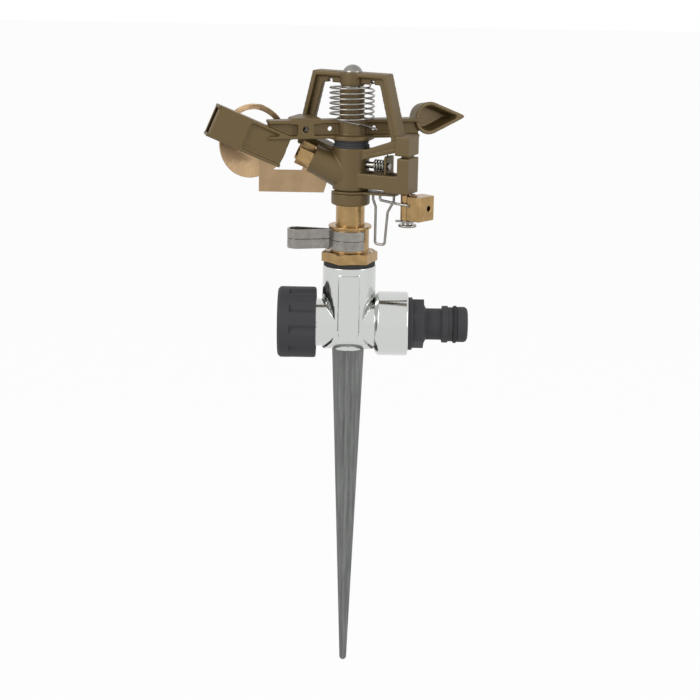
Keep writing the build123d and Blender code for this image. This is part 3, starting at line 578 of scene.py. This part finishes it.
class SPRINKLER_OT_trip(bpy.types.Operator):
    """The trip lever, its wire, the link and the brass block"""

    bl_idname = "sprinkler.trip"
    bl_label = "Trip"

    def execute(self, context):
        machined("Trip_lever", "trip_lever", "bronze_paint", 0.15 * MM)
        machined("Trip_wire", "trip_wire", "bright_steel", 0)
        machined("Trip_link", "trip_link", "bright_steel", 0)
        machined("Trip_block", "trip_block", "brass_upright", 0.35 * MM)
        return {"FINISHED"}


# Stage


def placed_lamp(name, size, power, where):
    """A soft rectangular lamp that points at the object."""
    lamp = bpy.data.lights.new(name, "AREA")
    lamp.shape = "RECTANGLE"
    lamp.size, lamp.size_y = size
    lamp.energy = power
    holder = bpy.data.objects.new(name, lamp)
    bpy.context.scene.collection.objects.link(holder)
    holder.location = where
    holder.rotation_euler = (Vector(LIT_POINT) - Vector(where)).to_track_quat("-Z", "Y").to_euler()


def background_share(nodes, links):
    """1 for rays from the camera, off a gloss or through glass, and 0 for the rest."""
    path = nodes.new("ShaderNodeLightPath")
    seen = path.outputs["Is Camera Ray"]
    for label in ("Is Glossy Ray", "Is Transmission Ray"):
        both = nodes.new("ShaderNodeMath")
        both.operation = "MAXIMUM"
        links.new(seen, both.inputs[0])
        links.new(path.outputs[label], both.inputs[1])
        seen = both.outputs["Value"]
    return seen


def white_world(sky):
    """Even light of that strength, seen as plain white."""
    world = bpy.data.worlds.new("Studio")
    bpy.context.scene.world = world
    world.use_nodes = True
    nodes, links = world.node_tree.nodes, world.node_tree.links
    nodes.clear()
    light = nodes.new("ShaderNodeBackground")
    light.inputs["Color"].default_value = (1, 1, 1, 1)
    light.inputs["Strength"].default_value = sky
    white = nodes.new("ShaderNodeBackground")
    white.inputs["Color"].default_value = (1, 1, 1, 1)
    white.inputs["Strength"].default_value = 1.0
    either = nodes.new("ShaderNodeMixShader")
    links.new(background_share(nodes, links), either.inputs["Fac"])
    links.new(light.outputs["Background"], either.inputs[1])
    links.new(white.outputs["Background"], either.inputs[2])
    out = nodes.new("ShaderNodeOutputWorld")
    links.new(either.outputs["Shader"], out.inputs["Surface"])


def white_floor(level):
    """White paper under the object that keeps a pale shadow."""
    form = bmesh.new()
    bmesh.ops.create_grid(form, x_segments=1, y_segments=1, size=FLOOR_HALF)
    bmesh.ops.translate(form, verts=form.verts, vec=(0, 0, level))
    mesh = bpy.data.meshes.new("Floor")
    form.to_mesh(mesh)
    form.free()
    floor = bpy.data.objects.new("Floor", mesh)
    bpy.context.scene.collection.objects.link(floor)
    paper = bpy.data.materials.new("white_paper")
    paper.use_nodes = True
    nodes, links = paper.node_tree.nodes, paper.node_tree.links
    nodes.clear()
    matt = nodes.new("ShaderNodeBsdfDiffuse")
    matt.inputs["Color"].default_value = (PAPER_SHADE, PAPER_SHADE, PAPER_SHADE, 1)
    glow = nodes.new("ShaderNodeEmission")
    glow.inputs["Color"].default_value = (1, 1, 1, 1)
    seen = background_share(nodes, links)
    share = nodes.new("ShaderNodeMath")
    share.operation = "MULTIPLY"
    share.inputs[1].default_value = PAPER_GLOW
    links.new(seen, share.inputs[0])
    either = nodes.new("ShaderNodeMixShader")
    links.new(share.outputs["Value"], either.inputs["Fac"])
    links.new(matt.outputs["BSDF"], either.inputs[1])
    links.new(glow.outputs["Emission"], either.inputs[2])
    out = nodes.new("ShaderNodeOutputMaterial")
    links.new(either.outputs["Shader"], out.inputs["Surface"])
    mesh.materials.append(paper)


def studio_camera(stage):
    """Camera in front, looking a little down, its axis through the middle of the picture."""
    camera = bpy.data.objects.new("Camera", bpy.data.cameras.new("Camera"))
    bpy.context.scene.collection.objects.link(camera)
    camera.data.sensor_fit = "HORIZONTAL"
    camera.data.sensor_width = SENSOR_WIDTH
    camera.data.lens = stage.lens
    camera.data.clip_start, camera.data.clip_end = 0.05, 20
    back = Vector((0, -math.cos(stage.pitch), math.sin(stage.pitch)))
    camera.location = Vector(SEEN_POINT) + back * stage.distance
    upright = Matrix.Rotation(math.pi / 2 - stage.pitch, 3, "X")
    camera.rotation_euler = (upright @ Matrix.Rotation(stage.roll, 3, "Z")).to_euler()
    bpy.context.scene.camera = camera


class SPRINKLER_OT_stage(bpy.types.Operator):
    """The white floor, the lamps and the camera"""

    bl_idname = "sprinkler.stage"
    bl_label = "Stage"

    def execute(self, context):
        stage = context.scene.sprinkler_stage
        context.scene.view_settings.view_transform = "Standard"
        white_world(stage.sky)
        white_floor(cad_box[0].z - FLOOR_GAP)
        placed_lamp("Key", KEY_SIZE, stage.key, KEY_PLACE)
        placed_lamp("Fill", FILL_SIZE, stage.fill, FILL_PLACE)
        studio_camera(stage)
        return {"FINISHED"}


PIECES = (
    SPRINKLER_OT_spike,
    SPRINKLER_OT_tee,
    SPRINKLER_OT_end_cap,
    SPRINKLER_OT_nipple,
    SPRINKLER_OT_bearing,
    SPRINKLER_OT_collars,
    SPRINKLER_OT_head,
    SPRINKLER_OT_arm,
    SPRINKLER_OT_springs,
    SPRINKLER_OT_pins,
    SPRINKLER_OT_deflector,
    SPRINKLER_OT_trip,
    SPRINKLER_OT_stage,
)


class SPRINKLER_PT_panel(bpy.types.Panel):
    """Lists the pieces and their settings"""

    bl_label = "Sprinkler"
    bl_idname = "SPRINKLER_PT_panel"
    bl_space_type = "VIEW_3D"
    bl_region_type = "UI"
    bl_category = "Sprinkler"

    def draw(self, context):
        for group in (
            context.scene.sprinkler_colours,
            context.scene.sprinkler_forms,
            context.scene.sprinkler_stage,
        ):
            box = self.layout.box()
            for label in group.__annotations__:
                box.prop(group, label)
        for piece in PIECES:
            self.layout.operator(piece.bl_idname)


SETTINGS = {
    "sprinkler_colours": SprinklerColours,
    "sprinkler_forms": SprinklerForms,
    "sprinkler_stage": SprinklerStage,
}


def register():
    for label, group in SETTINGS.items():
        bpy.utils.register_class(group)
        setattr(bpy.types.Scene, label, PointerProperty(type=group))
    for piece in PIECES:
        bpy.utils.register_class(piece)
    bpy.utils.register_class(SPRINKLER_PT_panel)


def unregister():
    bpy.utils.unregister_class(SPRINKLER_PT_panel)
    for piece in reversed(PIECES):
        bpy.utils.unregister_class(piece)
    for label, group in reversed(SETTINGS.items()):
        delattr(bpy.types.Scene, label)
        bpy.utils.unregister_class(group)


def main():
    register()
    for piece in PIECES:
        group, call = piece.bl_idname.split(".")
        getattr(getattr(bpy.ops, group), call)()


if __name__ == "__main__":
    main()
